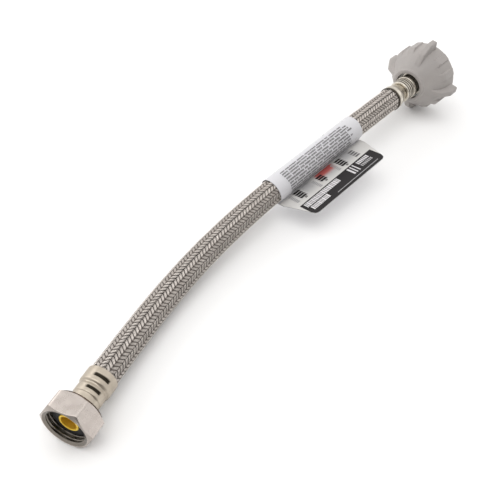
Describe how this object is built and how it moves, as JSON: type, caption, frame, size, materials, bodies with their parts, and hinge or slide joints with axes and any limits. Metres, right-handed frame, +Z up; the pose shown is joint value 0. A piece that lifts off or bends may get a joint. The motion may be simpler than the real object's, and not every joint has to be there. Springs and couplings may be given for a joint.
{
  "type": "braided supply line",
  "caption": "Flexible braided stainless water supply line with a hexagonal threaded nut at one end, a winged plastic coupling nut at the other, and a paper flag label.",
  "frame": {"origin": "centre of the end fittings' bounding box in X and Y, on the surface the line lies on", "axes": "+X runs along the line from the hexagonal inlet nut to the winged tank nut, +Z is up, +Y is the side the hose bows towards"},
  "size_m": [0.3267, 0.0523, 0.049],
  "materials": {
    "plated_nut": "bright nickel plate",
    "brass_stem": "turned, bare",
    "black_rubber": "matt moulded rubber",
    "ferrule_steel": "satin, pressed",
    "grey_plastic": "matt moulded",
    "plated_stem": "nickel plated, turned",
    "white_plastic": "matt moulded",
    "liner_rubber": "extruded",
    "yarn": "wound yarn",
    "braid_steel": "woven fine wire",
    "label_film": "gloss printed film"
  },
  "bodies": {
    "hose": {"inlet_stem": "brass_stem", "inlet_washer": "black_rubber", "inlet_ferrule": "ferrule_steel", "tank_stem": "plated_stem", "tank_cone_washer": "black_rubber", "tank_ferrule": "ferrule_steel", "liner_tube": "liner_rubber", "yarn_layer": "yarn", "braid_sleeve": "braid_steel"},
    "inlet_coupling": {"inlet_nut": "plated_nut"},
    "slip_ring": {"tank_friction_ring": "white_plastic"},
    "tank_coupling": {"tank_nut": "grey_plastic"},
    "label": {"label_wrap": "label_film"}
  },
  "joints": [
    {"name": "inlet_nut_spin", "type": "hinge", "parent": "hose", "child": "inlet_coupling", "pos_m": [-0.15575, 0.00285, 0.01242], "axis": [0.9715, 0.2243, -0.0767], "continuous": true},
    {"name": "tank_nut_slide", "type": "slide", "parent": "hose", "child": "slip_ring", "axis": [-0.9959, 0.0906, 0], "range_m": [0, 0.01]},
    {"name": "tank_nut_spin", "type": "hinge", "parent": "slip_ring", "child": "tank_coupling", "pos_m": [0.14957, 0.0004, 0.0245], "axis": [-0.9959, 0.0906, 0], "continuous": true},
    {"name": "label_turn", "type": "hinge", "parent": "hose", "child": "label", "pos_m": [0.04519, 0.01196, 0.02038], "axis": [0.9843, -0.1422, 0.1048], "range_deg": [-200, 20]}
  ]
}
